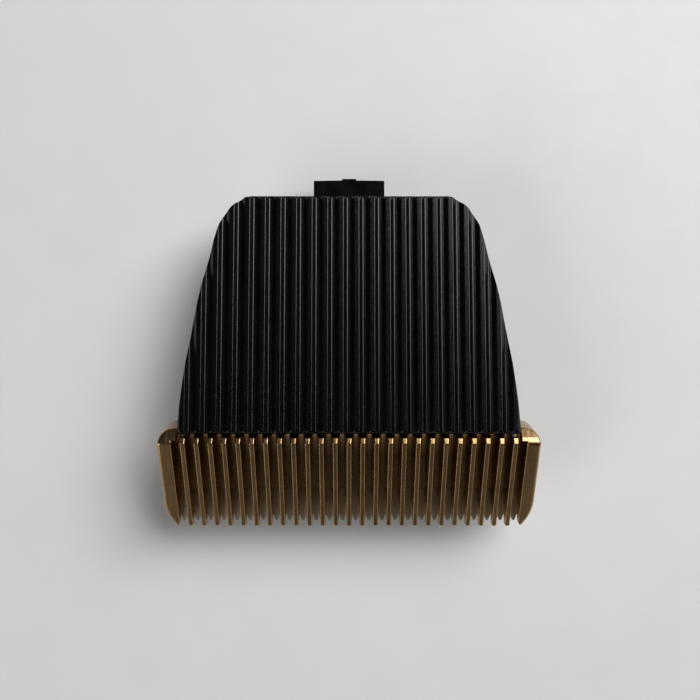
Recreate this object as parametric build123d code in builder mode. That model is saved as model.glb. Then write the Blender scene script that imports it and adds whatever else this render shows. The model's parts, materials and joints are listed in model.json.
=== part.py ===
from build123d import *
import os
from math import cos, radians, sin, tan

# Detachable hair clipper blade set, lying on its rear rim with the ribbed face up. Millimetres.
# X runs across the blade, +Y towards the mounting hook, -Y towards the comb's tips, +Z up.
# The origin is under the middle of the set, on the plane of the rear rim.

# Whole set
overall_length = 43.2            # comb tips to the end of the mounting hook
tip_height = 6.3                 # sliding face above the rear rim, at the comb's tips
slide_angle = 10.0               # sliding face rises towards the hook
running_gap = 0.02               # between faces that slide on each other
fit_gap = 0.05                   # all round a piece that slides in a slot

# Fixed comb
comb_width = 45.0
tooth_pitch = 1.627
tooth_width = 0.57               # across the ridge of a tooth
tooth_flare = 7.4                # sides of a tooth spread towards the sliding face
tooth_edge_radius = 0.15
tip_width = 0.54
tip_length = 1.0                 # rounded tips reach the teeth's full width in this length
tip_thickness = 0.45
tip_radius = 0.28                # end of an inner tooth's ridge
ridge_angle = 19.55              # ridge of the teeth over the sliding face
crest_height = 4.6
crest_flat = 0.65
crest_fall = 24.0                # crests slope down behind the ridge, from the sliding face
crest_radius = 0.15
slot_length = 4.9                # open slots, from the tips to the web
web_edge = 0.3
runout_length = 2.8              # floors of the gaps curve up behind the web
runout_drop = 1.9                # to this far under the back of the crests
comb_plate_thickness = 1.2
comb_plate_length = 6.4
comb_plate_width = 35.2
end_tooth_least = 1.5            # end teeth are at least this wide, and take what the inner teeth leave
end_tip_offset = 0.3             # tip of an end tooth, out from its inner side
end_point_length = 0.5           # inner side of an end tooth's tip
end_curve_length = 3.8
end_crest_radius = 0.6
end_edge_radius = 0.35           # outer edge of the end teeth
heel_length = 1.0                # end teeth slope down this far behind their crests
heel_drop = 1.15
heel_corner_radius = 1.8
heel_gap = 0.15                  # beside the cover
relief_depth = 0.2
relief_start = 7.2
relief_length = 3.6
relief_width = 38.0

# Comb screws
screw_spacing = 31.0
screw_place = 14.4               # from the tips, along the sliding face
screw_diameter = 2.0
screw_length = 4.4              # under the head
screw_head_diameter = 3.6
screw_head_height = 0.6
screw_clearance = 0.1
screw_recess_width = 0.5
screw_recess_depth = 0.35

# Moving cutter
cutter_setback = 0.65            # cutter tips behind the comb's tips
cutter_root = 5.0
cutter_back = 11.8
cutter_thickness = 1.0
cutter_tooth_width = 0.9
cutter_tip_width = 0.3
cutter_point_length = 0.9
cutter_stroke = 1.3              # to each side of the middle

# Cutter carrier and its rivets
carrier_width = 24.0
carrier_front = 5.7
carrier_back = 11.7
carrier_thickness = 2.4
carrier_edge_radius = 0.35
yoke_width = 7.2
yoke_end = 18.8
yoke_depth = 3.4
drive_slot_width = 3.2
drive_slot_start = 13.0
drive_slot_length = 4.8
rivet_spacing = 10.0
rivet_place = 10.4
rivet_diameter = 1.4
rivet_head_diameter = 2.2
rivet_head_height = 0.4

# Guide rail
rail_place = 7.6
rail_width = 2.6
rail_thickness = 0.7
rail_overrun = 0.2               # past the carrier's travel at each end
rail_lip = 0.75                  # carrier lips under the rail
rail_neck_width = 1.4
peg_spacing = 16.0
peg_diameter = 0.9

# Cleaning lever
pivot_place = 24.4               # from the comb's tips
pivot_z = 5.0
lever_bar_gap = 0.1
lever_bar_thickness = 1.6
lever_bar_width = 2.6
arm_width = 2.8
arm_gap = 0.85                   # from an arm to the spring's wire beside it
arm_height = 1.6
hub_diameter = 4.4
pad_setback = 3.4                # thumb pad behind the pivot
pad_length = 4.2
pad_thickness = 1.6
pad_grooves = 4
pad_groove_width = 0.4
pad_groove_depth = 0.3
lug_reach = 10.6                 # spring ears ahead of the pivot
lug_length = 2.2
lug_thickness = 0.8

# Lever pivot pins and springs
pin_diameter = 2.0
pin_end = 16.0
pin_clearance = 0.03
wire_diameter = 0.5
coil_radius = 1.35
spring_room = 0.85               # from a spring's wire to the block beside it
spring_margin = 0.2              # what a spring presses on is this much wider than its wire
upper_leg_length = 10.2
lower_leg_length = 9.0

# Ribbed cover
crest_gap = 0.51                 # from the comb's crests to the cover's front edge
cover_drop = 0.32                # floors of the grooves at the front edge, under the comb's crests
cover_angle = 5.2                # ribbed face falls towards the hook
cover_front_width = 40.3
cover_shoulder_width = 31.42
cover_shoulder_length = 4.15
cover_rear_width = 23.8
cover_side_bulge = 0.65
cover_shoulder_bulge = 0.68
cover_thickness = 1.1
skirt_depth = 4.6
skirt_thickness = 1.2
skirt_setback = 1.2
rib_count = 22
rib_pitch = 1.86
rib_land = 0.55
rib_flank = 0.44
rib_height = 0.43
rib_radius = 0.12
groove_radius = 0.2              # foot of a rib's flanks
rib_end_radius = 0.25
rib_end_inset = 0.12

# Base frame
frame_inset = 0.4                # inside the cover's outline
wall_thickness = 2.0
lip_clearance = 0.25
lip_height = 2.0
lip_setback = 1.2                # lip starts behind the comb's seats
sill_reach = 1.2                 # sill ahead of the frame's walls
sill_width = 37.0
sill_height = 1.3
seat_inner = 13.4                # half the width between the seats
seat_place = 12.4                # from the comb's tips
seat_length = 5.8
pivot_block_length = 4.8
pivot_block_top = 7.4
pivot_block_outer = 16.5
shelf_length = 1.8
shelf_thickness = 1.0
hook_width = 8.84
hook_reach = 3.03                # past the cover's rear edge
hook_top = 5.0
hook_thickness = 1.6
hook_lip_length = 1.0
hook_lip_depth = 0.9
hook_crown = 0.06
hook_nub_width = 1.75
hook_nub_length = 0.19
latch_setback = 7.73             # middle of a latch ridge ahead of the rear wall's outside
latch_length = 4.0
latch_height = 1.2
latch_base = 1.0
latch_reach = 0.7

# Planes of the sliding face and of a section through it
slide_rise = radians(slide_angle)
tip_face = tip_thickness - tip_radius * tan(radians(90 - ridge_angle) / 2)
tip_y = -overall_length / 2 + tip_face * sin(slide_rise) + tip_radius * (1 - cos(slide_rise))
slide_plane = Plane(
    origin=(0, tip_y, tip_height), x_dir=(1, 0, 0), z_dir=(0, -sin(slide_rise), cos(slide_rise))
)
section_plane = Plane(origin=slide_plane.origin, x_dir=slide_plane.y_dir, z_dir=(1, 0, 0))

# Plane across the ridge of a tooth, at its tip: its Y axis runs down from the ridge
ridge_rise = slide_rise + radians(ridge_angle)
ridge_start = slide_plane.from_local_coords(Vector(0, 0, tip_thickness))
ridge_plane = Plane(origin=ridge_start, x_dir=(1, 0, 0), z_dir=(0, cos(ridge_rise), sin(ridge_rise)))

# Planes of the ribbed face, which starts behind the comb's crests
comb_back = (crest_height - tip_thickness) / tan(radians(ridge_angle)) + crest_flat
crest_back_height = crest_height - crest_flat * tan(radians(crest_fall))
crest_back = slide_plane.from_local_coords(Vector(0, comb_back, crest_height))
cover_fall = radians(cover_angle)
cover_front_y = crest_back.Y + crest_gap
cover_front_z = crest_back.Z - cover_drop
cover_length = (overall_length / 2 - hook_reach - cover_front_y) / cos(cover_fall)
cover_plane = Plane(
    origin=(0, cover_front_y, cover_front_z), x_dir=(1, 0, 0), z_dir=(0, sin(cover_fall), cos(cover_fall))
)
rib_plane = Plane(origin=cover_plane.origin, x_dir=(1, 0, 0), z_dir=-cover_plane.y_dir)
parting_plane = cover_plane.offset(-skirt_depth)
frame_plane = Plane((0, parting_plane.origin.Y, 0))

# Places that several pieces share
inner_teeth = int((comb_width - 2 * end_tooth_least + tooth_width) / tooth_pitch) - 1
end_inner = (inner_teeth + 1) / 2 * tooth_pitch - tooth_width / 2
end_width = comb_width / 2 - end_inner
heel_inner = cover_front_width / 2 + heel_gap
heel_back = comb_back + heel_length
heel_front = comb_back - crest_flat / 2
tooth_places = [(i - (inner_teeth - 1) / 2) * tooth_pitch for i in range(inner_teeth)]
gap_places = [(i - inner_teeth / 2) * tooth_pitch for i in range(inner_teeth + 1)]
cutter_top = -running_gap
cutter_bottom = cutter_top - cutter_thickness
carrier_bottom = cutter_bottom - carrier_thickness
rail_length = carrier_width + 2 * (cutter_stroke + rail_overrun)
rail_bottom = carrier_bottom + rail_lip + fit_gap
lever_bar_top = carrier_bottom - lever_bar_gap
pivot_y = tip_y + pivot_place
spring_place = seat_inner - spring_room - wire_diameter / 2
spring_edge = wire_diameter / 2 + spring_margin
upper_leg_end = pivot_y - upper_leg_length
lower_leg_end = pivot_y - lower_leg_length
arm_outer = spring_place - wire_diameter / 2 - arm_gap
arm_inner = arm_outer - arm_width
seat_front = tip_y + seat_place
seat_back = seat_front + seat_length
screw_spots = [(-screw_spacing / 2, screw_place), (screw_spacing / 2, screw_place)]
rivet_spots = [(-rivet_spacing / 2, rivet_place), (rivet_spacing / 2, rivet_place)]
peg_spots = [(-peg_spacing / 2, rail_place), (peg_spacing / 2, rail_place)]


def housing_plan(inset):
    """Plan of the housing from its front edge: convex sides, round shoulders, straight rear edge."""
    front = (cover_front_width / 2, 0)
    shoulder = (cover_shoulder_width / 2, cover_length - cover_shoulder_length)
    rear = (cover_rear_width / 2, cover_length)
    with BuildSketch() as plan:
        with BuildLine():
            side = Line(front, shoulder, mode=Mode.PRIVATE)
            corner = Line(shoulder, rear, mode=Mode.PRIVATE)
            side_middle = side @ 0.5 + (side % 0.5).rotate(Axis.Z, -90) * cover_side_bulge
            corner_middle = corner @ 0.5 + (corner % 0.5).rotate(Axis.Z, -90) * cover_shoulder_bulge
            Line((0, 0), front)
            ThreePointArc(front, side_middle, shoulder)
            ThreePointArc(shoulder, corner_middle, rear)
            Line(rear, (0, cover_length))
            mirror(about=Plane.YZ)
        make_face()
        if inset:
            offset(amount=-inset, kind=Kind.INTERSECTION)
    return plan.sketch


cover_plan = housing_plan(0)
skirt_plan = housing_plan(skirt_thickness)
frame_plan = housing_plan(frame_inset)
cavity_plan = housing_plan(frame_inset + wall_thickness)
lip_plan = housing_plan(skirt_thickness + lip_clearance)
latch_plan = housing_plan(frame_inset + wall_thickness + latch_reach)

def ridge_profile(radius, back):
    """Section of a tooth along its length: a wedge with a rounded crest, closed by the points in back."""
    with BuildSketch() as profile:
        with BuildLine():
            Polyline(
                (0, 0),
                (0, tip_thickness),
                (comb_back - crest_flat, crest_height),
                (comb_back, crest_back_height),
                *back,
                close=True,
            )
        make_face()
        fillet(profile.vertices().sort_by(Axis.Y)[-2:], radius)
    return profile.sketch


def flare(depth):
    """How far the side of a tooth has spread at a depth under its ridge."""
    return depth * tan(radians(tooth_flare))


def ridge_edges(builder, middle, width):
    """Long upper edges of a tooth that has only been extruded and flared."""

    def on_ridge(edge):
        place = slide_plane.to_local_coords(edge.center())
        return place.Z > crest_height / 2 and abs(place.X - middle) < width

    return builder.edges().filter_by(Axis.X, reverse=True).filter_by(on_ridge)


def on_outer_ridge(edge):
    """Whether an edge of the right end tooth bounds its ridge on the outer side."""
    place = slide_plane.to_local_coords(edge.center())
    ridge_height = tip_thickness + place.Y * tan(radians(ridge_angle))
    outer = place.X > end_inner + end_width / 2
    return outer and place.Z > ridge_height - tip_thickness / 4 and place.Y < comb_back - crest_flat


# Depths under the ridge that a tooth's flared section spans, past the tooth on both sides
section_top = -tooth_width / 2
section_bottom = crest_height + tip_thickness

# One inner tooth of the comb, in the middle
with BuildSketch() as tooth_profile:
    add(ridge_profile(crest_radius, [(comb_back, 0)]))
    fillet(tooth_profile.vertices().group_by(Axis.X)[0].sort_by(Axis.Y)[-1], tip_radius)
with BuildPart() as tooth:
    with BuildSketch(section_plane):
        add(tooth_profile.sketch)
    extrude(amount=tooth_pitch, both=True)
    with BuildSketch(ridge_plane):
        top_half = tooth_width / 2 + flare(section_top)
        bottom_half = tooth_width / 2 + flare(section_bottom)
        Polygon(
            (-top_half, section_top),
            (top_half, section_top),
            (bottom_half, section_bottom),
            (-bottom_half, section_bottom),
            align=None,
        )
    extrude(amount=2 * comb_back, both=True, mode=Mode.INTERSECT)
    fillet(ridge_edges(tooth, 0, tooth_width), tooth_edge_radius)
    with BuildSketch(slide_plane):
        with Locations((0, tip_width / 2)):
            Circle(tip_width / 2)
        with Locations((0, (tip_length + comb_back) / 2)):
            Rectangle(tooth_pitch, comb_back - tip_length)
        make_hull()
    extrude(amount=crest_height, mode=Mode.INTERSECT)

# Space beside the right end tooth, ahead of its heel
with BuildPart() as end_gap:
    with BuildSketch(ridge_plane):
        Polygon(
            (heel_inner - end_width, section_top),
            (end_inner - flare(section_top), section_top),
            (end_inner - flare(section_bottom), section_bottom),
            (heel_inner - end_width, section_bottom),
            align=None,
        )
    extrude(amount=2 * comb_back, both=True)
    gap_end = slide_plane.from_local_coords(Vector(0, heel_front, 0))
    split(bisect_by=Plane(gap_end, z_dir=slide_plane.y_dir), keep=Keep.BOTTOM)

# Wide tooth at the right end of the comb: its outer side curves in to the tip, and a heel slopes down behind
with BuildPart() as end_tooth:
    with BuildSketch(section_plane.offset(heel_inner)):
        add(ridge_profile(end_crest_radius, [(heel_back, crest_height - heel_drop), (heel_back, 0)]))
    extrude(amount=comb_width / 2 - heel_inner)
    add(end_gap.part, mode=Mode.SUBTRACT)
    fillet(ridge_edges(end_tooth, end_inner, tooth_edge_radius), tooth_edge_radius)
    with BuildSketch(slide_plane.offset(-tip_thickness)) as end_plan:
        with BuildLine():
            end_tip = (end_inner + end_tip_offset, 0)
            curve_end = (comb_width / 2, end_curve_length)
            point_slope = end_point_length / end_tip_offset
            TangentArc(curve_end, end_tip, tangent=(0, -1))
            Polyline(
                curve_end,
                (comb_width / 2, heel_back),
                (heel_inner, heel_back),
                (heel_inner, point_slope * (end_tip[0] - heel_inner)),
                end_tip,
            )
        make_face()
        fillet(end_plan.vertices().sort_by(Axis.Y)[-2:].sort_by(Axis.X)[-1], heel_corner_radius)
    extrude(amount=crest_height + 2 * tip_thickness, mode=Mode.INTERSECT)
    fillet(end_tooth.edges().filter_by(on_outer_ridge), end_edge_radius)

with BuildPart() as fixed_comb:
    # Web between the teeth, thinning to the roots of the open slots and curving up behind
    with BuildSketch(section_plane):
        with BuildLine():
            runout_start = (comb_back - runout_length, comb_plate_thickness)
            runout_end = (comb_back, crest_back_height - runout_drop)
            floor_line = Line((slot_length, web_edge), runout_start)
            TangentArc(runout_start, runout_end, tangent=floor_line % 1)
            Polyline(runout_end, (comb_back, 0), (slot_length, 0), (slot_length, web_edge))
        make_face()
    extrude(amount=end_inner + end_width / 4, both=True)
    # Plate under the cover
    with BuildSketch(slide_plane):
        with Locations((0, comb_back)):
            Rectangle(comb_plate_width, 2 * comb_plate_length)
        with Locations((0, 0)):
            Rectangle(comb_width, 2 * (comb_back - comb_plate_thickness), mode=Mode.SUBTRACT)
    extrude(amount=comb_plate_thickness)
    with Locations(*[(x, 0, 0) for x in tooth_places]):
        add(tooth.part)
    add(end_tooth.part)
    mirror(end_tooth.part, about=Plane.YZ)
    with BuildSketch(slide_plane):
        with Locations(*screw_spots):
            Circle(screw_diameter / 2 + screw_clearance)
    extrude(amount=comb_plate_thickness, mode=Mode.SUBTRACT)
    # Shallow relief in the sliding face
    with BuildSketch(slide_plane):
        with Locations((0, relief_start + relief_length / 2)):
            Rectangle(relief_width, relief_length)
    extrude(amount=relief_depth, mode=Mode.SUBTRACT)

with BuildPart() as comb_screws:
    with Locations(slide_plane.offset(comb_plate_thickness)):
        with Locations(*screw_spots):
            Cylinder(screw_diameter / 2, screw_length, align=(Align.CENTER, Align.CENTER, Align.MAX))
            Cylinder(
                screw_head_diameter / 2, screw_head_height, align=(Align.CENTER, Align.CENTER, Align.MIN)
            )
    # Cross recess in each head
    with BuildSketch(slide_plane.offset(comb_plate_thickness + screw_head_height)):
        with Locations(*screw_spots):
            Rectangle(screw_head_diameter / 2, screw_recess_width)
            Rectangle(screw_recess_width, screw_head_diameter / 2)
    extrude(amount=-screw_recess_depth, mode=Mode.SUBTRACT)

with BuildPart() as moving_cutter:
    with BuildSketch(slide_plane.offset(cutter_top)):
        with Locations((0, (cutter_root + cutter_back) / 2)):
            Rectangle(inner_teeth * tooth_pitch + cutter_tooth_width, cutter_back - cutter_root)
        with Locations(*[(x, 0) for x in gap_places]):
            Polygon(
                (-cutter_tooth_width / 2, cutter_root),
                (-cutter_tooth_width / 2, cutter_setback + cutter_point_length),
                (-cutter_tip_width / 2, cutter_setback),
                (cutter_tip_width / 2, cutter_setback),
                (cutter_tooth_width / 2, cutter_setback + cutter_point_length),
                (cutter_tooth_width / 2, cutter_root),
                align=None,
            )
    extrude(amount=-cutter_thickness)
    with Locations(slide_plane.offset(cutter_top)):
        with Locations(*rivet_spots):
            CounterSinkHole(rivet_diameter / 2, rivet_head_diameter / 2, counter_sink_angle=90)

with BuildPart() as cutter_carrier:
    with BuildSketch(slide_plane.offset(cutter_bottom)):
        with Locations((0, (carrier_front + carrier_back) / 2)):
            RectangleRounded(carrier_width, carrier_back - carrier_front, carrier_edge_radius)
    extrude(amount=-carrier_thickness)
    # Yoke with the slot for the clipper's eccentric drive pin
    yoke_start = carrier_back - 2 * carrier_edge_radius
    with BuildSketch(slide_plane.offset(cutter_bottom)):
        with Locations((0, (yoke_start + yoke_end) / 2)):
            RectangleRounded(yoke_width, yoke_end - yoke_start, carrier_edge_radius)
        with Locations((0, drive_slot_start + drive_slot_length / 2)):
            SlotOverall(drive_slot_length, drive_slot_width, rotation=90, mode=Mode.SUBTRACT)
    extrude(amount=-yoke_depth)
    # Slot that wraps the guide rail
    with BuildSketch(section_plane):
        with Locations((rail_place, rail_bottom + rail_thickness / 2)):
            Rectangle(rail_width + 2 * fit_gap, rail_thickness + 2 * fit_gap)
        with Locations((rail_place, carrier_bottom + rail_lip / 2)):
            Rectangle(rail_neck_width + 2 * fit_gap, rail_lip)
    extrude(amount=carrier_width, both=True, mode=Mode.SUBTRACT)
    with BuildSketch(slide_plane.offset(cutter_bottom)):
        with Locations(*rivet_spots):
            Circle(rivet_diameter / 2)
    extrude(amount=-carrier_thickness, mode=Mode.SUBTRACT)

with BuildPart() as carrier_rivets:
    sink_depth = (rivet_head_diameter - rivet_diameter) / 2
    with Locations(slide_plane.offset(cutter_top)):
        with Locations(*rivet_spots):
            Cone(
                rivet_diameter / 2,
                rivet_head_diameter / 2,
                sink_depth,
                align=(Align.CENTER, Align.CENTER, Align.MAX),
            )
            Cylinder(
                rivet_diameter / 2,
                cutter_thickness + carrier_thickness,
                align=(Align.CENTER, Align.CENTER, Align.MAX),
            )
    with Locations(slide_plane.offset(carrier_bottom)):
        with Locations(*rivet_spots):
            Cylinder(
                rivet_head_diameter / 2, rivet_head_height, align=(Align.CENTER, Align.CENTER, Align.MAX)
            )

with BuildPart() as guide_rail:
    with BuildSketch(slide_plane.offset(rail_bottom)):
        with Locations((0, rail_place)):
            Rectangle(rail_length, rail_width)
        with Locations(*peg_spots):
            Circle(peg_diameter / 2, mode=Mode.SUBTRACT)
    extrude(amount=rail_thickness)

# Lever frame: front bar under the rail, two arms on the pivot pins, and a thumb pad behind
with BuildPart() as cleaning_lever:
    with BuildSketch(section_plane):
        with Locations((rail_place, lever_bar_top - lever_bar_thickness / 2)):
            Rectangle(lever_bar_width, lever_bar_thickness)
        with Locations((rail_place, (lever_bar_top + rail_bottom) / 2)):
            Rectangle(rail_neck_width, rail_bottom - lever_bar_top)
    extrude(amount=rail_length / 2, both=True)
    with BuildSketch(slide_plane.offset(rail_bottom)):
        with Locations(*peg_spots):
            Circle(peg_diameter / 2)
    extrude(amount=rail_thickness)
    bar_middle = slide_plane.from_local_coords(Vector(0, rail_place, lever_bar_top - lever_bar_thickness / 2))
    pad_middle = pivot_y + pad_setback + pad_length / 2
    lug_bottom = pivot_z + coil_radius + wire_diameter / 2
    lug_top = lug_bottom + lug_thickness
    lug_middle = pivot_y - lug_reach + lug_length / 2
    for side in (-1, 1):
        with BuildSketch(Plane.YZ.offset(side * arm_inner)):
            with BuildLine():
                Polyline((bar_middle.Y, bar_middle.Z), (pivot_y, pivot_z), (pad_middle, pivot_z))
            trace(line_width=arm_height)
            with Locations((pivot_y, pivot_z)):
                Circle(hub_diameter / 2)
            with Locations((lug_middle, (pivot_z + lug_top) / 2)):
                Rectangle(lug_length, lug_top - pivot_z + arm_height)
            with Locations((pivot_y, pivot_z)):
                Circle(pin_diameter / 2 + pin_clearance, mode=Mode.SUBTRACT)
        extrude(amount=side * arm_width)
        # Ear that the spring's upper leg presses on
        with BuildSketch(Plane.YZ.offset(side * arm_inner)):
            with Locations((lug_middle, (lug_bottom + lug_top) / 2)):
                Rectangle(lug_length, lug_thickness)
        extrude(amount=side * (spring_place + spring_edge - arm_inner))
    with BuildSketch(Plane.XY.offset(pivot_z - pad_thickness / 2)):
        with Locations((0, pad_middle)):
            Rectangle(2 * arm_outer, pad_length)
    extrude(amount=pad_thickness)
    # Grip grooves on the side that the thumb reaches
    groove_pitch = pad_length / (pad_grooves + 1)
    with BuildSketch(Plane.XY.offset(pivot_z - pad_thickness / 2)):
        with Locations((0, pad_middle)):
            with GridLocations(0, groove_pitch, 1, pad_grooves):
                Rectangle(arm_outer, pad_groove_width)
    extrude(amount=pad_groove_depth, mode=Mode.SUBTRACT)

with BuildPart() as lever_pivot_pins:
    for side in (-1, 1):
        with BuildSketch(Plane.YZ.offset(side * arm_inner)):
            with Locations((pivot_y, pivot_z)):
                Circle(pin_diameter / 2)
        extrude(amount=side * (pin_end - arm_inner))


def hairpin_spring(place):
    """Wire bent round a pivot pin: the upper leg lifts the lever, the lower leg stands on the frame."""
    with BuildPart() as spring:
        with BuildLine(Plane.YZ.offset(place)) as path:
            upper = pivot_z + coil_radius
            lower = pivot_z - coil_radius
            Line((upper_leg_end, upper), (pivot_y, upper))
            ThreePointArc((pivot_y, upper), (pivot_y + coil_radius, pivot_z), (pivot_y, lower))
            Line((pivot_y, lower), (lower_leg_end, lower))
        with BuildSketch(Plane(path.line @ 0, z_dir=path.line % 0)):
            Circle(wire_diameter / 2)
        sweep()
    return spring


lever_spring_left = hairpin_spring(-spring_place)
lever_spring_right = hairpin_spring(spring_place)

# Raised ribs of the cover, cut off by its outline
rib_places = [(i - (rib_count - 1) / 2) * rib_pitch for i in range(rib_count)]
cover_up = Axis(cover_plane.origin, cover_plane.z_dir)
with BuildSketch() as rib_section:
    with BuildLine():
        Polyline(
            (-rib_pitch / 2, -rib_height),
            (-rib_pitch / 2, 0),
            (-rib_land / 2 - rib_flank, 0),
            (-rib_land / 2, rib_height),
            (rib_land / 2, rib_height),
            (rib_land / 2 + rib_flank, 0),
            (rib_pitch / 2, 0),
            (rib_pitch / 2, -rib_height),
            close=True,
        )
    make_face()
    fillet(rib_section.vertices().group_by(Axis.Y)[1].sort_by(Axis.X)[1:-1], groove_radius)
with BuildPart() as rib:
    with BuildSketch(rib_plane.offset(-rib_end_inset)):
        add(rib_section.sketch)
    extrude(amount=-(cover_length - 2 * rib_end_inset))
    fillet(rib.edges().group_by(cover_up)[-1].filter_by(Axis.X), rib_end_radius)
    fillet(rib.faces().sort_by(cover_up)[-1].edges().filter_by(Axis.X, reverse=True), rib_radius)

with BuildPart() as rib_field:
    with Locations(*[(x, 0, 0) for x in rib_places]):
        add(rib.part)
    with BuildSketch(cover_plane.offset(-rib_height)):
        add(cover_plan)
    extrude(amount=2 * rib_height, mode=Mode.INTERSECT)

with BuildPart() as ribbed_cover:
    with BuildSketch(parting_plane):
        add(cover_plan)
    extrude(amount=skirt_depth)
    add(rib_field.part)
    with BuildSketch(parting_plane):
        add(skirt_plan)
        Rectangle(cover_front_width + 2 * skirt_thickness, 2 * skirt_setback)
    extrude(amount=skirt_depth - cover_thickness, mode=Mode.SUBTRACT)

# Lip of the frame that the cover's skirt fits round
with BuildPart() as lip:
    with BuildSketch(frame_plane):
        add(lip_plan)
        add(cavity_plan, mode=Mode.SUBTRACT)
    extrude(amount=cover_front_z)
    split(bisect_by=parting_plane.offset(lip_height), keep=Keep.BOTTOM)
    split(bisect_by=Plane((0, seat_back + lip_setback, 0), z_dir=(0, 1, 0)), keep=Keep.TOP)

# Pillars that the comb's plate lies on
with BuildPart() as comb_seats:
    seat_outer = comb_plate_width / 2 + fit_gap
    with BuildSketch():
        for side in (-1, 1):
            with Locations((side * (seat_inner + seat_outer) / 2, (seat_front + seat_back) / 2)):
                Rectangle(seat_outer - seat_inner, seat_length)
    extrude(amount=cover_front_z)
    split(bisect_by=slide_plane, keep=Keep.BOTTOM)

with BuildPart() as base_frame:
    with BuildSketch(frame_plane):
        add(frame_plan)
        add(cavity_plan, mode=Mode.SUBTRACT)
    extrude(amount=cover_front_z)
    split(bisect_by=parting_plane, keep=Keep.BOTTOM)
    # Front opening for the cutter and its lever, over a low sill
    opening_width = cover_front_width - 2 * (frame_inset + wall_thickness)
    with BuildSketch(frame_plane.offset(sill_height)):
        Rectangle(opening_width, 2 * (frame_inset + wall_thickness))
        Rectangle(cover_front_width, 2 * (seat_front - frame_plane.origin.Y))
    extrude(amount=cover_front_z, mode=Mode.SUBTRACT)
    sill_front = frame_plane.origin.Y + frame_inset - sill_reach
    sill_back = frame_plane.origin.Y + frame_inset + wall_thickness
    with BuildSketch():
        with Locations((0, (sill_front + sill_back) / 2)):
            Rectangle(sill_width, sill_back - sill_front)
    extrude(amount=sill_height)
    add(lip.part)
    add(comb_seats.part)
    with BuildSketch(slide_plane):
        with Locations(*screw_spots):
            Circle(screw_diameter / 2)
    extrude(amount=comb_plate_thickness - screw_length, mode=Mode.SUBTRACT)
    # Blocks that hold the pivot pins, and the shelves under the springs' lower legs
    shelf_top = pivot_z - coil_radius - wire_diameter / 2
    shelf_inner = spring_place - spring_edge
    for side in (-1, 1):
        with BuildSketch():
            with Locations((side * (seat_inner + pivot_block_outer) / 2, pivot_y)):
                Rectangle(pivot_block_outer - seat_inner, pivot_block_length)
        extrude(amount=pivot_block_top)
        with BuildSketch(Plane.YZ.offset(side * seat_inner)):
            with Locations((pivot_y, pivot_z)):
                Circle(pin_diameter / 2)
        extrude(amount=side * (pin_end - seat_inner), mode=Mode.SUBTRACT)
        with BuildSketch(Plane.XY.offset(shelf_top - shelf_thickness)):
            with Locations((side * (shelf_inner + seat_inner) / 2, lower_leg_end + shelf_length / 2)):
                Rectangle(seat_inner - shelf_inner, shelf_length)
        extrude(amount=shelf_thickness)
    # Latch ridges on the inside of the side walls
    rear_wall = frame_plane.origin.Y + cover_length - frame_inset
    with BuildSketch(frame_plane.offset(latch_base)):
        add(cavity_plan)
        add(latch_plan, mode=Mode.SUBTRACT)
        with Locations((0, rear_wall - latch_setback - frame_plane.origin.Y)):
            Rectangle(cover_front_width, latch_length, mode=Mode.INTERSECT)
    extrude(amount=latch_height)
    # Mounting hook behind the rear wall
    hook_end = overall_length / 2 - hook_nub_length
    with BuildSketch(Plane.XY.offset(hook_top - hook_thickness)):
        with BuildLine():
            ThreePointArc(
                (-hook_width / 2, hook_end - hook_crown), (0, hook_end), (hook_width / 2, hook_end - hook_crown)
            )
            Polyline(
                (hook_width / 2, hook_end - hook_crown),
                (hook_width / 2, rear_wall - wall_thickness),
                (-hook_width / 2, rear_wall - wall_thickness),
                (-hook_width / 2, hook_end - hook_crown),
            )
        make_face()
        with Locations((0, hook_end)):
            Rectangle(hook_nub_width, 2 * hook_nub_length)
    extrude(amount=hook_thickness)
    with BuildSketch(Plane.XY.offset(hook_top - hook_thickness)):
        with Locations((0, hook_end - hook_crown - hook_lip_length / 2)):
            Rectangle(hook_width, hook_lip_length)
    extrude(amount=-hook_lip_depth)

pieces = {
    "ribbed_cover": ribbed_cover,
    "base_frame": base_frame,
    "fixed_comb": fixed_comb,
    "comb_screws": comb_screws,
    "moving_cutter": moving_cutter,
    "cutter_carrier": cutter_carrier,
    "carrier_rivets": carrier_rivets,
    "guide_rail": guide_rail,
    "cleaning_lever": cleaning_lever,
    "lever_pivot_pins": lever_pivot_pins,
    "lever_spring_left": lever_spring_left,
    "lever_spring_right": lever_spring_right,
}
os.makedirs("parts", exist_ok=True)
for name, piece in pieces.items():
    piece.part.label = name
    export_step(piece.part, f"parts/{name}.step")
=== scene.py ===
import json
from math import cos, pi, sin

import bpy
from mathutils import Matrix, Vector


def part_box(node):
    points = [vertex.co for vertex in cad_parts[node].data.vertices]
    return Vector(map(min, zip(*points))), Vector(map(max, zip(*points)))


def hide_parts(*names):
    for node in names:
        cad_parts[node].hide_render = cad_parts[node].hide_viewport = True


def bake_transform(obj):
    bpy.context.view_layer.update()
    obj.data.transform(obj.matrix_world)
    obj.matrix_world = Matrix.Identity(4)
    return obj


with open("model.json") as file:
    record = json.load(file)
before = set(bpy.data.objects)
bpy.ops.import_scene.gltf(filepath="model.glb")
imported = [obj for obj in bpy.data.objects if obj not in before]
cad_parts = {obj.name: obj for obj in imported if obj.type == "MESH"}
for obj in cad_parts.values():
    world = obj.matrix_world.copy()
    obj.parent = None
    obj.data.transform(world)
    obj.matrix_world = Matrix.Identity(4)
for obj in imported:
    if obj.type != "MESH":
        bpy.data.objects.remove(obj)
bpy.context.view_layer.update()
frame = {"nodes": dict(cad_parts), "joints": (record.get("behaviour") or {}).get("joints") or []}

# Looks of a detachable hair clipper blade set, seen from straight above. Lengths are in metres.

MM = 0.001
nodes = frame["nodes"]

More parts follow.
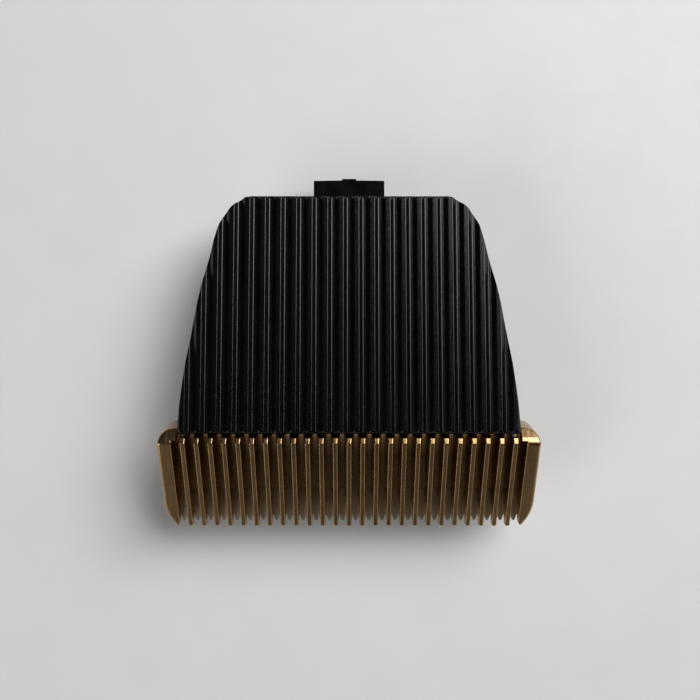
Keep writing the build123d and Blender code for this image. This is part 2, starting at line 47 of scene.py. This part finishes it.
# Camera, over the middle of the set
CAMERA_PLACE = (0.12 * MM, 0.14 * MM, 118.0 * MM)
CLIP_START = 1.0 * MM
FOCAL_LENGTH_PX = 900.7
IMAGE_SIZE_PX = 700
SENSOR_WIDTH_MM = 36.0

# Floor
FLOOR_SIZE = 3.0
FLOOR_GAP = 0.01 * MM
FLOOR_COLOUR = (0.76, 0.76, 0.755)
FLOOR_SHADE = (0.74, 0.74, 0.735)

# Softboxes, powers in watts: the key stands behind the set on the right, the fill in front on the left
KEY_PLACE = (0.27, 0.26, 0.40)
KEY_SIZE = (0.36, 0.40)
KEY_POWER = 3.3
FILL_PLACE = (-0.34, -0.22, 0.26)
FILL_SIZE = (0.34, 0.34)
FILL_POWER = 0.7

# Sky: dark overhead and behind, brighter low down in front, to both sides of whoever holds the camera
SKY_DARK = 0.02
SKY_FRONT = 0.05
SKY_SIDES = 0.36
SKY_SIDE_TURN = 0.35
SKY_FRONT_LOW = 0.05
SKY_FRONT_HIGH = 0.6
SKY_LOW = 0.1
SKY_HIGH = 0.75

# Range of the noise that takes a finish from one of its two values to the other
ROUGHNESS_NOISE = (0.3, 0.7)
COLOUR_NOISE = (0.35, 0.65)

# Spring wire, whose rounded ends close with a small flat, as a share of the wire's radius
WIRE_SIDES = 16
LOOP_STEPS = 24
WIRE_END_RINGS = 4
WIRE_END_FLAT = 0.02
LOWER_LEG_SHORTER = 1.2 * MM


def spread(tree, value, source, target):
    """Node that takes a value from the source range to the target range and stops at its ends."""
    node = tree.nodes.new("ShaderNodeMapRange")
    node.inputs["From Min"].default_value, node.inputs["From Max"].default_value = source
    node.inputs["To Min"].default_value, node.inputs["To Max"].default_value = target
    tree.links.new(value, node.inputs["Value"])
    return node.outputs["Result"]


class Finish:
    """A principled material and the few nodes that vary it over the surface."""

    def __init__(self, name, metallic=0.0, specular=0.5):
        self.material = bpy.data.materials.new(name)
        self.material.use_nodes = True
        self.tree = self.material.node_tree
        self.shader = self.tree.nodes["Principled BSDF"]
        self.shader.inputs["Metallic"].default_value = metallic
        self.shader.inputs["Specular IOR Level"].default_value = specular
        self.coordinates = self.tree.nodes.new("ShaderNodeTexCoord")

    def noise(self, size, detail=3.0, stretch=(1.0, 1.0, 1.0)):
        """Noise whose grain has that size in metres, made longer along an axis by its stretch."""
        mapping = self.tree.nodes.new("ShaderNodeMapping")
        mapping.inputs["Scale"].default_value = [1.0 / (size * s) for s in stretch]
        texture = self.tree.nodes.new("ShaderNodeTexNoise")
        texture.inputs["Scale"].default_value = 1.0
        texture.inputs["Detail"].default_value = detail
        self.tree.links.new(self.coordinates.outputs["Object"], mapping.inputs["Vector"])
        self.tree.links.new(mapping.outputs["Vector"], texture.inputs["Vector"])
        return texture.outputs["Fac"]

    def vary_roughness(self, noise, low, high):
        """Roughness that goes from low to high with the noise."""
        roughness = spread(self.tree, noise, ROUGHNESS_NOISE, (low, high))
        self.tree.links.new(roughness, self.shader.inputs["Roughness"])

    def vary_colour(self, noise, first, second):
        """Colour that goes from the first to the second with the noise."""
        ramp = self.tree.nodes.new("ShaderNodeValToRGB")
        for element, place, colour in zip(ramp.color_ramp.elements, COLOUR_NOISE, (first, second)):
            element.position = place
            element.color = (*colour, 1.0)
        self.tree.links.new(noise, ramp.inputs["Fac"])
        self.tree.links.new(ramp.outputs["Color"], self.shader.inputs["Base Color"])

    def bump(self, noise, depth, strength):
        """Fine relief of that depth in metres."""
        relief = self.tree.nodes.new("ShaderNodeBump")
        relief.inputs["Distance"].default_value = depth
        relief.inputs["Strength"].default_value = strength
        self.tree.links.new(noise, relief.inputs["Height"])
        self.tree.links.new(relief.outputs["Normal"], self.shader.inputs["Normal"])


def grained_black():
    """Black moulded plastic with the fine grain of a spark eroded mould."""
    finish = Finish("grained_black", specular=0.4)
    finish.vary_colour(finish.noise(6 * MM), (0.0016, 0.0016, 0.002), (0.0026, 0.0026, 0.003))
    finish.vary_roughness(finish.noise(0.4 * MM), low=0.16, high=0.24)
    finish.bump(finish.noise(0.16 * MM, detail=2.0), depth=0.014 * MM, strength=0.5)
    return finish.material


def smooth_black():
    """Black moulded plastic, smooth, with a faint flow of the melt."""
    finish = Finish("smooth_black", specular=0.3)
    finish.vary_colour(finish.noise(5 * MM), (0.0016, 0.0016, 0.0019), (0.0026, 0.0026, 0.0029))
    finish.vary_roughness(finish.noise(1.5 * MM), low=0.16, high=0.24)
    finish.bump(finish.noise(0.5 * MM), depth=0.006 * MM, strength=0.12)
    return finish.material


def satin_gold():
    """Gold coating on a ground steel comb, with marks along the teeth."""
    finish = Finish("satin_gold", metallic=1.0)
    finish.vary_colour(finish.noise(2.5 * MM), (0.41, 0.258, 0.12), (0.48, 0.307, 0.148))
    finish.vary_roughness(finish.noise(0.3 * MM, stretch=(0.5, 6.0, 6.0)), low=0.18, high=0.3)
    finish.bump(finish.noise(0.09 * MM, stretch=(1.0, 8.0, 8.0)), depth=0.003 * MM, strength=0.25)
    return finish.material


def dark_steel():
    """Cutter steel with a brown coating, ground from side to side."""
    finish = Finish("dark_steel", metallic=1.0)
    finish.vary_colour(finish.noise(3 * MM), (0.44, 0.345, 0.245), (0.51, 0.4, 0.29))
    finish.vary_roughness(finish.noise(0.25 * MM, stretch=(6.0, 0.5, 0.5)), low=0.44, high=0.55)
    finish.bump(finish.noise(0.08 * MM, stretch=(8.0, 1.0, 1.0)), depth=0.005 * MM, strength=0.35)
    return finish.material


def bright_steel():
    """Bright ground steel of the rail, pins, screws and rivets."""
    finish = Finish("bright_steel", metallic=1.0)
    finish.vary_colour(finish.noise(2 * MM), (0.5, 0.5, 0.49), (0.6, 0.6, 0.59))
    finish.vary_roughness(finish.noise(0.2 * MM, stretch=(5.0, 1.0, 1.0)), low=0.2, high=0.36)
    finish.bump(finish.noise(0.07 * MM, stretch=(8.0, 1.0, 1.0)), depth=0.004 * MM, strength=0.3)
    return finish.material


def spring_wire():
    """Drawn spring wire."""
    finish = Finish("spring_wire", metallic=1.0)
    finish.vary_colour(finish.noise(1.2 * MM), (0.36, 0.36, 0.37), (0.46, 0.46, 0.47))
    finish.vary_roughness(finish.noise(0.12 * MM, stretch=(1.0, 6.0, 1.0)), low=0.22, high=0.4)
    return finish.material


def pale_plastic():
    """Pale grey low friction plastic of the cutter's carrier."""
    finish = Finish("pale_plastic")
    finish.vary_colour(finish.noise(4 * MM), (0.47, 0.47, 0.45), (0.53, 0.53, 0.51))
    finish.vary_roughness(finish.noise(0.6 * MM), low=0.4, high=0.52)
    finish.bump(finish.noise(0.2 * MM), depth=0.01 * MM, strength=0.25)
    finish.shader.inputs["Subsurface Weight"].default_value = 0.1
    finish.shader.inputs["Subsurface Radius"].default_value = (0.4 * MM, 0.4 * MM, 0.4 * MM)
    return finish.material


def dark_plastic():
    """Dark grey moulded plastic of the cleaning lever."""
    finish = Finish("dark_plastic")
    finish.vary_colour(finish.noise(4 * MM), (0.04, 0.04, 0.043), (0.052, 0.052, 0.055))
    finish.vary_roughness(finish.noise(0.5 * MM), low=0.4, high=0.52)
    finish.bump(finish.noise(0.18 * MM), depth=0.015 * MM, strength=0.3)
    return finish.material


def pale_floor():
    """Plain pale table top."""
    finish = Finish("pale_floor")
    finish.vary_colour(finish.noise(9 * MM), FLOOR_SHADE, FLOOR_COLOUR)
    finish.vary_roughness(finish.noise(2 * MM), low=0.55, high=0.65)
    return finish.material


def dress(material, *names):
    """Gives CAD nodes a finish."""
    for name in names:
        slots = nodes[name].data.materials
        slots.clear()
        slots.append(material)


def add(name, data):
    """New object in the scene."""
    piece = bpy.data.objects.new(name, data)
    bpy.context.scene.collection.objects.link(piece)
    return piece


def rounded_end(point, along, outward, radius):
    """Rings that close a wire, from its full width to its tip at the point."""
    rings = []
    for i in range(1, WIRE_END_RINGS + 1):
        angle = pi / 2 * i / WIRE_END_RINGS
        middle = point - outward * radius * (1 - sin(angle))
        rings.append((middle, along, max(cos(angle), WIRE_END_FLAT)))
    return rings


def wire_rings(path, radius):
    """Middle, direction and share of the radius of each ring of a wire with rounded ends."""
    last = len(path) - 1
    directions = [(path[min(i + 1, last)] - path[max(i - 1, 0)]).normalized() for i in range(last + 1)]
    start = rounded_end(path[0], directions[0], -directions[0], radius)
    end = rounded_end(path[last], directions[last], directions[last], radius)
    between = [(path[i], directions[i], 1.0) for i in range(1, last)]
    return start[::-1] + between + end


def tube(name, path, radius):
    """Wire along a path in a plane across X."""
    across = Vector((1, 0, 0))
    rings = wire_rings(path, radius)
    vertices = []
    for middle, along, share in rings:
        up = along.cross(across)
        for k in range(WIRE_SIDES):
            turn = 2 * pi * k / WIRE_SIDES
            vertices.append(middle + (across * cos(turn) + up * sin(turn)) * radius * share)
    faces = []
    for i in range(len(rings) - 1):
        for k in range(WIRE_SIDES):
            a = i * WIRE_SIDES + k
            b = i * WIRE_SIDES + (k + 1) % WIRE_SIDES
            faces.append((a, b, b + WIRE_SIDES, a + WIRE_SIDES))
    faces.append(tuple(reversed(range(WIRE_SIDES))))
    faces.append(tuple(range(len(vertices) - WIRE_SIDES, len(vertices))))
    mesh = bpy.data.meshes.new(name)
    mesh.from_pydata(vertices, [], faces)
    mesh.update()
    for face in mesh.polygons:
        face.use_smooth = True
    return add(name, mesh)


def hairpin(name, node, pivot, material):
    """Lever spring, a wire hairpin round the lever's pivot that takes the place of the CAD node; its
    lower leg stays on the frame.
    """
    low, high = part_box(node)
    radius = (high.x - low.x) / 2
    loop = (high.z - low.z) / 2 - radius
    x = (low.x + high.x) / 2
    path = [Vector((x, low.y, pivot.z + loop))]
    for i in range(LOOP_STEPS + 1):
        turn = pi / 2 - pi * i / LOOP_STEPS
        path.append(Vector((x, pivot.y + loop * cos(turn), pivot.z + loop * sin(turn))))
    path.append(Vector((x, low.y + LOWER_LEG_SHORTER, pivot.z - loop)))
    wire = tube(name, path, radius)
    wire.data.materials.append(material)
    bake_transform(wire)
    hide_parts(node)


def softbox(name, place, size, power):
    """Rectangular lamp that faces the set."""
    lamp = bpy.data.lights.new(name, "AREA")
    lamp.shape = "RECTANGLE"
    lamp.size, lamp.size_y = size
    lamp.energy = power
    piece = add(name, lamp)
    piece.location = place
    piece.rotation_euler = (-Vector(place)).to_track_quat("-Z", "Y").to_euler()


def sky():
    """Surroundings of a small room, whose brightness comes from the direction's components."""
    world = bpy.data.worlds.new("sky")
    world.use_nodes = True
    tree = world.node_tree

    def work_out(operation, *values):
        node = tree.nodes.new("ShaderNodeMath")
        node.operation = operation
        for socket, value in zip(node.inputs, values):
            tree.links.new(value, socket)
        return node.outputs["Value"]

    place = tree.nodes.new("ShaderNodeTexCoord")
    split = tree.nodes.new("ShaderNodeSeparateXYZ")
    tree.links.new(place.outputs["Generated"], split.inputs["Vector"])
    sideways = work_out("ABSOLUTE", split.outputs["X"])
    side = spread(tree, sideways, (0.0, SKY_SIDE_TURN), (SKY_FRONT, SKY_SIDES))
    front = spread(tree, split.outputs["Y"], (-SKY_FRONT_HIGH, -SKY_FRONT_LOW), (1.0, 0.0))
    low = spread(tree, split.outputs["Z"], (SKY_LOW, SKY_HIGH), (1.0, 0.0))
    bright = work_out("MULTIPLY", work_out("MULTIPLY", side, front), low)
    strength = spread(tree, bright, (0.0, 1.0), (SKY_DARK, 1.0))
    background = tree.nodes["Background"]
    background.inputs["Color"].default_value = (1.0, 1.0, 1.0, 1.0)
    tree.links.new(strength, background.inputs["Strength"])
    bpy.context.scene.world = world


def camera():
    """Camera of the photograph, looking straight down with the hook at the top."""
    lens = bpy.data.cameras.new("camera")
    lens.sensor_width = SENSOR_WIDTH_MM
    lens.lens = FOCAL_LENGTH_PX / IMAGE_SIZE_PX * SENSOR_WIDTH_MM
    lens.clip_start = CLIP_START
    piece = add("camera", lens)
    piece.location = CAMERA_PLACE
    bpy.context.scene.camera = piece


def floor():
    """Table top that the set lies on."""
    half = FLOOR_SIZE / 2
    corners = [(-half, -half), (half, -half), (half, half), (-half, half)]
    mesh = bpy.data.meshes.new("floor")
    mesh.from_pydata([(x, y, -FLOOR_GAP) for x, y in corners], [], [(0, 1, 2, 3)])
    mesh.materials.append(pale_floor())
    add("floor", mesh)


dress(grained_black(), "ribbed_cover")
dress(smooth_black(), "base_frame")
dress(satin_gold(), "fixed_comb")
dress(dark_steel(), "moving_cutter")
dress(pale_plastic(), "cutter_carrier")
dress(dark_plastic(), "cleaning_lever")
dress(bright_steel(), "comb_screws", "carrier_rivets", "guide_rail", "lever_pivot_pins")

lever_pivot = Vector(next(j["pos_m"] for j in frame["joints"] if j["name"] == "lever_tilt"))
wire_finish = spring_wire()
for side in ("left", "right"):
    hairpin(f"spring_wire_{side}", f"lever_spring_{side}", lever_pivot, wire_finish)

floor()
softbox("key", KEY_PLACE, KEY_SIZE, KEY_POWER)
softbox("fill", FILL_PLACE, FILL_SIZE, FILL_POWER)
sky()
camera()
bpy.context.scene.view_settings.view_transform = "Standard"
